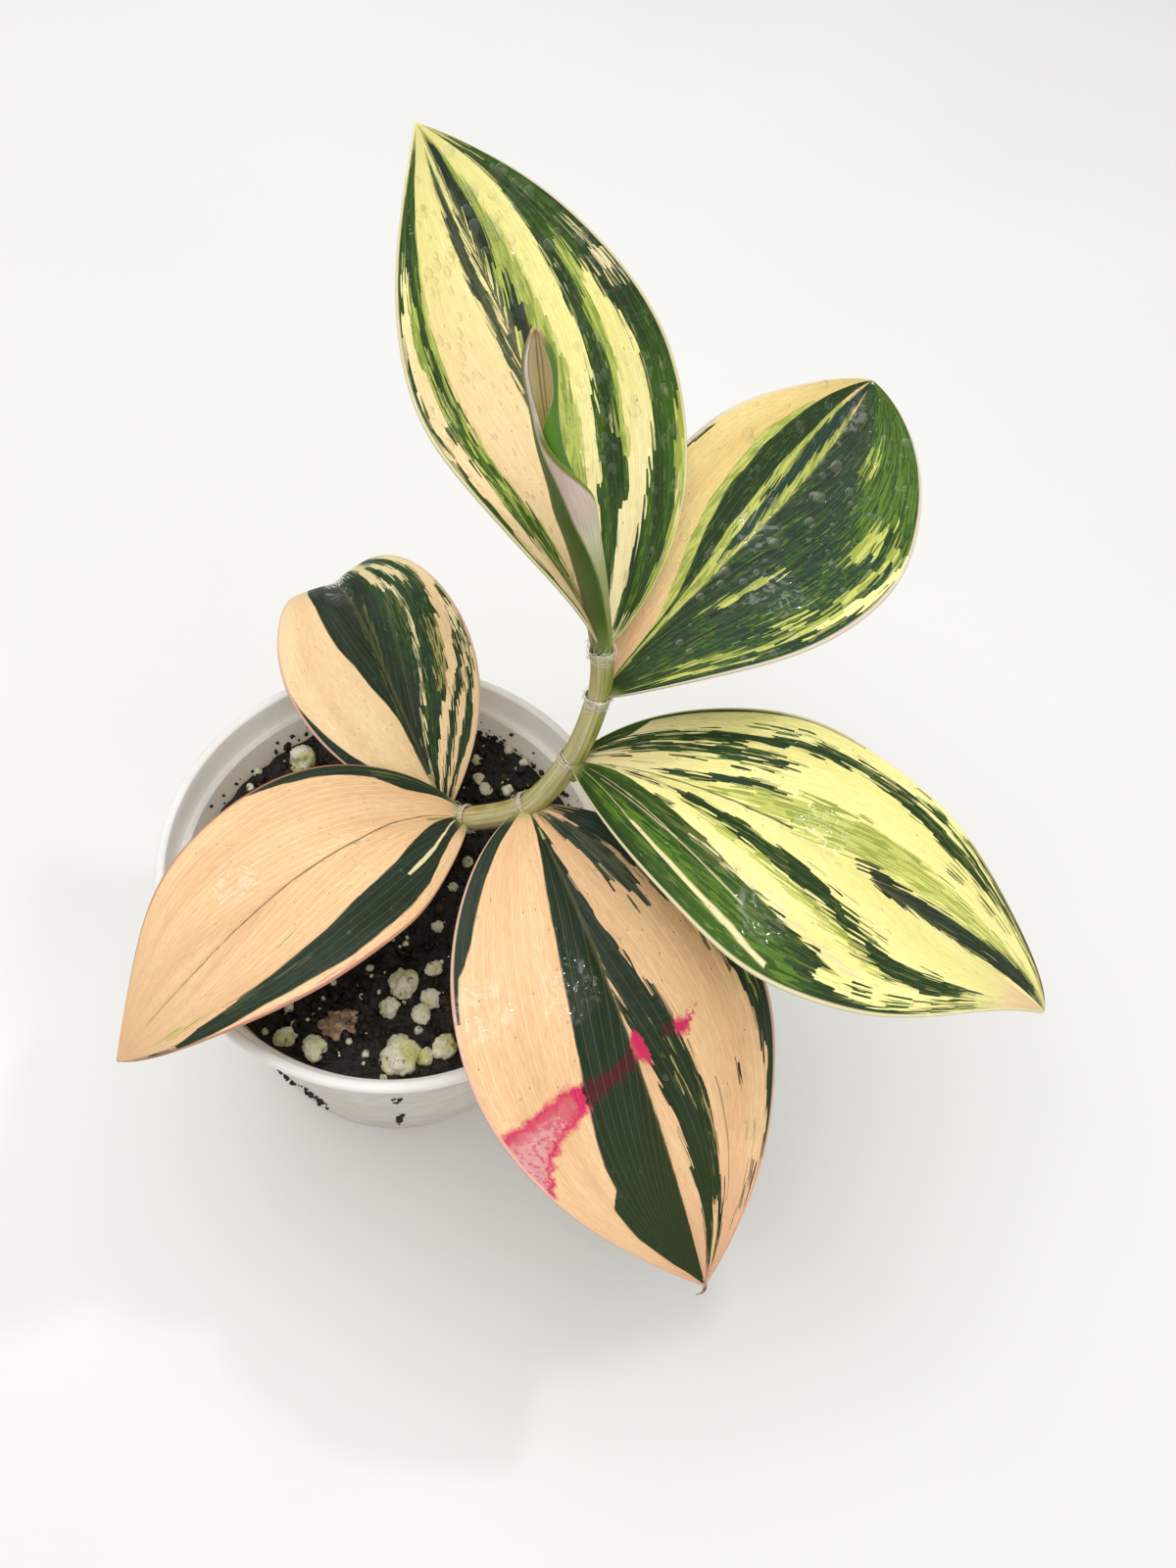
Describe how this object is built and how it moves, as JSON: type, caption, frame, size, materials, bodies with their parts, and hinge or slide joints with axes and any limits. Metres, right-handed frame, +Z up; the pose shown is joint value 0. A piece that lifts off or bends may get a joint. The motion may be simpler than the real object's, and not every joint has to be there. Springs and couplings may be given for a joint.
{
  "type": "potted variegated spiral ginger",
  "caption": "Young variegated spiral ginger with broad striped leaves and a rolled new leaf, rooted in peat and perlite in a frosted plastic nursery pot.",
  "frame": {"origin": "centre of the pot's base, on the surface it stands on", "axes": "+Z up the pot's axis; -Y towards the side the leaf named leaf_front hangs over; +X towards the side the stem leans to"},
  "size_m": [0.1636, 0.156, 0.1782],
  "materials": {
    "frosted_plastic": "translucent frosted white, thin moulded plastic, faintly scuffed",
    "peat": "moist near-black crumbly peat",
    "perlite": "rough cream white grains with a yellow-green algae tint",
    "stem": "pale green translucent sheaths with papery collars",
    "leaf_peach": "satin peach leaf with dark blue-green stripes, wet in places",
    "leaf_yellow_green": "satin leaf streaked yellow, lime and dark green, wet in places",
    "rolled_leaf": "silvery green rolled leaf with a pinkish cream margin",
    "water": "clear water drops"
  },
  "bodies": {
    "root": {"pot": "frosted_plastic", "soil": "peat", "cane": "stem", "leaf_back_left": "leaf_peach", "leaf_left": "leaf_peach", "leaf_front": "leaf_peach", "leaf_right": "leaf_yellow_green", "leaf_back_right": "leaf_yellow_green", "leaf_back": "leaf_yellow_green", "new_leaf": "rolled_leaf"}
  },
  "joints": []
}
